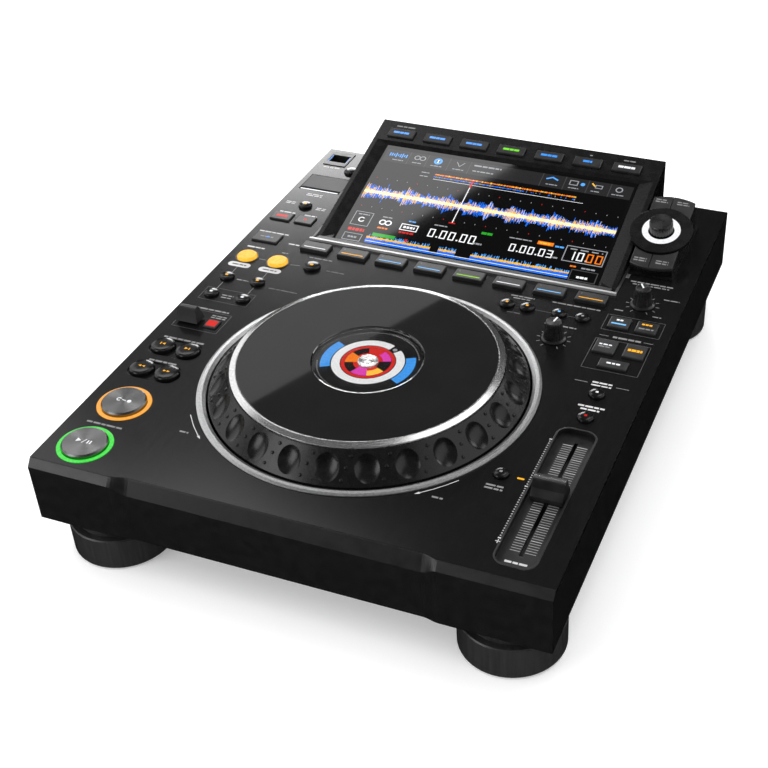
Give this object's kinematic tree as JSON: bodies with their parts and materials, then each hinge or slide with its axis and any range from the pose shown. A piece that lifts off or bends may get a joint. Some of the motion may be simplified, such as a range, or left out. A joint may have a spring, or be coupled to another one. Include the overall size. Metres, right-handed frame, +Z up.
{
  "type": "tabletop dj media player",
  "caption": "Tabletop media player for disc jockeys: flat black case on round feet, tilted touch display, large jog wheel, pitch fader, knobs, lit buttons and pad keys.",
  "frame": {"origin": "on the surface the feet stand on, in the middle of the width and depth", "axes": "+Z up, +Y towards the rear connectors, so the user stands at -Y; +X to the user's right"},
  "size_m": [0.329, 0.4262, 0.111],
  "materials": {
    "case_black": "satin black paint, satin grey on the front bevel",
    "panel_black": "black anodised, finely brushed front to back",
    "base_steel": "black coated sheet steel",
    "foot_metal": "semi-gloss black, turned",
    "foot_rubber": "matte black rubber",
    "screw_steel": "black zinc",
    "housing_black": "smooth black plastic",
    "bright_frame": "satin silver",
    "touch_glass": "glossy dark display glass",
    "lcd_black": "black display module",
    "bezel_metal": "turned satin metal",
    "cast_metal": "plain cast",
    "bearing_steel": "polished steel",
    "jog_lens": "clear window over a lit round display",
    "board_green": "green circuit board",
    "rear_metal": "satin black sheet steel",
    "socket_metal": "plated sockets",
    "inlet_plastic": "black moulding",
    "tray_black": "fine matte black",
    "control_steel": "plain steel can",
    "light_guide": "lit translucent rings, orange, green and white",
    "usb_black": "black moulding with a lit frame",
    "sd_black": "black moulding",
    "rim_rubber": "satin black soft rim with dimples",
    "trim_bright": "bright spun metal",
    "plate_gloss": "mirror gloss black",
    "fader_grip": "black with a silver line",
    "shaft_metal": "plain",
    "knob_black": "black, fluted",
    "lever_black": "satin black",
    "lid_black": "smoked dark lid",
    "power_black": "black",
    "button_metal": "spun dark metal caps",
    "button_black": "black domed caps",
    "lit_button": "lit amber caps",
    "key_grey": "dark grey keys"
  },
  "bodies": {
    "root": {"case_shell": "case_black", "base_plate": "base_steel", "top_panel": "panel_black", "foot_cups": "foot_metal", "foot_pads": "foot_rubber", "case_screws": "screw_steel", "display_housing": "housing_black", "display_trim": "bright_frame", "display_glass": "touch_glass", "lcd_module": "lcd_black", "jog_bezel_ring": "bezel_metal", "jog_base": "cast_metal", "jog_bearing": "bearing_steel", "jog_display": "jog_lens", "main_board": "board_green", "control_board": "board_green", "power_supply": "board_green", "rear_plate": "rear_metal", "rear_sockets": "socket_metal", "ac_inlet": "inlet_plastic", "fader_tray": "tray_black", "fader_unit": "control_steel", "selector_pod": "housing_black", "light_rings": "light_guide", "usb_port": "usb_black", "sd_slot": "sd_black"},
    "jog": {"jog_wheel": "rim_rubber", "jog_trim_ring": "trim_bright", "jog_top_plate": "plate_gloss"},
    "fader_cap": {"fader_cap": "fader_grip"},
    "selector_shaft": {"selector_shaft": "shaft_metal"},
    "selector_knob": {"selector_knob": "knob_black"},
    "speed_knob": {"speed_knob": "knob_black"},
    "release_knob": {"release_knob": "knob_black"},
    "direction_lever": {"direction_lever": "lever_black"},
    "sd_lid": {"sd_lid": "lid_black"},
    "power_button": {"power_button": "power_black"},
    "cue_button": {"cue_button": "button_metal"},
    "play_button": {"play_button": "button_metal"},
    "track_back_button": {"track_back_button": "button_black"},
    "track_next_button": {"track_next_button": "button_black"},
    "search_back_button": {"search_back_button": "button_black"},
    "search_next_button": {"search_next_button": "button_black"},
    "loop_in_button": {"loop_in_button": "lit_button"},
    "loop_out_button": {"loop_out_button": "lit_button"},
    "reloop_button": {"reloop_button": "button_black"},
    "pad_key_1": {"pad_key_1": "key_grey"},
    "pad_key_2": {"pad_key_2": "key_grey"},
    "pad_key_3": {"pad_key_3": "key_grey"},
    "pad_key_4": {"pad_key_4": "key_grey"},
    "pad_key_5": {"pad_key_5": "key_grey"},
    "pad_key_6": {"pad_key_6": "key_grey"},
    "pad_key_7": {"pad_key_7": "key_grey"},
    "pad_key_8": {"pad_key_8": "key_grey"},
    "left_round_buttons": {"left_round_buttons": "button_black"},
    "right_round_buttons": {"right_round_buttons": "button_black"},
    "left_flat_keys": {"left_flat_keys": "key_grey"},
    "right_flat_keys": {"right_flat_keys": "key_grey"},
    "display_keys": {"display_keys": "key_grey"},
    "selector_keys": {"selector_keys": "key_grey"}
  },
  "joints": [
    {"name": "jog_turn", "type": "hinge", "parent": "root", "child": "jog", "pos_m": [-0.0026, -0.0751, 0.0772], "axis": [0, 0, 1], "continuous": true},
    {"name": "fader_slide", "type": "slide", "parent": "root", "child": "fader_cap", "axis": [0, 1, 0], "range_m": [-0.048, 0.048]},
    {"name": "selector_turn", "type": "hinge", "parent": "root", "child": "selector_shaft", "pos_m": [0.131, 0.136, 0.0962], "axis": [0, -0.2588, 0.9659], "continuous": true},
    {"name": "selector_press", "type": "slide", "parent": "selector_shaft", "child": "selector_knob", "axis": [0, 0.2588, -0.9659], "range_m": [0, 0.0008], "stiffness_N_per_m": 1500},
    {"name": "speed_turn", "type": "hinge", "parent": "root", "child": "speed_knob", "pos_m": [0.0923, 0.009, 0.0772], "axis": [0, 0, 1], "range_deg": [-150, 150]},
    {"name": "release_turn", "type": "hinge", "parent": "root", "child": "release_knob", "pos_m": [0.137, 0.0665, 0.0772], "axis": [0, 0, 1], "range_deg": [-150, 150]},
    {"name": "direction_rock", "type": "hinge", "parent": "root", "child": "direction_lever", "pos_m": [-0.147, -0.05, 0.0712], "axis": [1, 0, 0], "range_deg": [-10, 10]},
    {"name": "sd_lid_open", "type": "hinge", "parent": "root", "child": "sd_lid", "pos_m": [-0.14285, 0.1617, 0.0757], "axis": [-1, 0, 0], "range_deg": [0, 90]},
    {"name": "power_press", "type": "slide", "parent": "root", "child": "power_button", "axis": [0, -1, 0], "range_m": [0, 0.0025], "stiffness_N_per_m": 800},
    {"name": "cue_press", "type": "slide", "parent": "root", "child": "cue_button", "axis": [0, 0, -1], "range_m": [0, 0.001], "stiffness_N_per_m": 1500},
    {"name": "play_press", "type": "slide", "parent": "root", "child": "play_button", "axis": [0, 0, -1], "range_m": [0, 0.001], "stiffness_N_per_m": 1500},
    {"name": "track_back_press", "type": "slide", "parent": "root", "child": "track_back_button", "axis": [0, 0, -1], "range_m": [0, 0.0008], "stiffness_N_per_m": 1500},
    {"name": "track_next_press", "type": "slide", "parent": "root", "child": "track_next_button", "axis": [0, 0, -1], "range_m": [0, 0.0008], "stiffness_N_per_m": 1500},
    {"name": "search_back_press", "type": "slide", "parent": "root", "child": "search_back_button", "axis": [0, 0, -1], "range_m": [0, 0.0008], "stiffness_N_per_m": 1500},
    {"name": "search_next_press", "type": "slide", "parent": "root", "child": "search_next_button", "axis": [0, 0, -1], "range_m": [0, 0.0008], "stiffness_N_per_m": 1500},
    {"name": "loop_in_press", "type": "slide", "parent": "root", "child": "loop_in_button", "axis": [0, 0, -1], "range_m": [0, 0.0008], "stiffness_N_per_m": 1500},
    {"name": "loop_out_press", "type": "slide", "parent": "root", "child": "loop_out_button", "axis": [0, 0, -1], "range_m": [0, 0.0008], "stiffness_N_per_m": 1500},
    {"name": "reloop_press", "type": "slide", "parent": "root", "child": "reloop_button", "axis": [0, 0, -1], "range_m": [0, 0.0008], "stiffness_N_per_m": 1500},
    {"name": "pad_1_press", "type": "slide", "parent": "root", "child": "pad_key_1", "axis": [0, 0, -1], "range_m": [0, 0.0008], "stiffness_N_per_m": 1500},
    {"name": "pad_2_press", "type": "slide", "parent": "root", "child": "pad_key_2", "axis": [0, 0, -1], "range_m": [0, 0.0008], "stiffness_N_per_m": 1500},
    {"name": "pad_3_press", "type": "slide", "parent": "root", "child": "pad_key_3", "axis": [0, 0, -1], "range_m": [0, 0.0008], "stiffness_N_per_m": 1500},
    {"name": "pad_4_press", "type": "slide", "parent": "root", "child": "pad_key_4", "axis": [0, 0, -1], "range_m": [0, 0.0008], "stiffness_N_per_m": 1500},
    {"name": "pad_5_press", "type": "slide", "parent": "root", "child": "pad_key_5", "axis": [0, 0, -1], "range_m": [0, 0.0008], "stiffness_N_per_m": 1500},
    {"name": "pad_6_press", "type": "slide", "parent": "root", "child": "pad_key_6", "axis": [0, 0, -1], "range_m": [0, 0.0008], "stiffness_N_per_m": 1500},
    {"name": "pad_7_press", "type": "slide", "parent": "root", "child": "pad_key_7", "axis": [0, 0, -1], "range_m": [0, 0.0008], "stiffness_N_per_m": 1500},
    {"name": "pad_8_press", "type": "slide", "parent": "root", "child": "pad_key_8", "axis": [0, 0, -1], "range_m": [0, 0.0008], "stiffness_N_per_m": 1500},
    {"name": "left_round_buttons_press", "type": "slide", "parent": "root", "child": "left_round_buttons", "axis": [0, 0, -1], "range_m": [0, 0.0006], "stiffness_N_per_m": 1500},
    {"name": "right_round_buttons_press", "type": "slide", "parent": "root", "child": "right_round_buttons", "axis": [0, 0, -1], "range_m": [0, 0.0006], "stiffness_N_per_m": 1500},
    {"name": "left_flat_keys_press", "type": "slide", "parent": "root", "child": "left_flat_keys", "axis": [0, 0, -1], "range_m": [0, 0.0006], "stiffness_N_per_m": 1500},
    {"name": "right_flat_keys_press", "type": "slide", "parent": "root", "child": "right_flat_keys", "axis": [0, 0, -1], "range_m": [0, 0.0006], "stiffness_N_per_m": 1500},
    {"name": "display_keys_press", "type": "slide", "parent": "root", "child": "display_keys", "axis": [0, 0.2504, -0.9681], "range_m": [0, 0.0006], "stiffness_N_per_m": 1500},
    {"name": "selector_keys_press", "type": "slide", "parent": "root", "child": "selector_keys", "axis": [0, 0.2588, -0.9659], "range_m": [0, 0.0007], "stiffness_N_per_m": 1500}
  ]
}
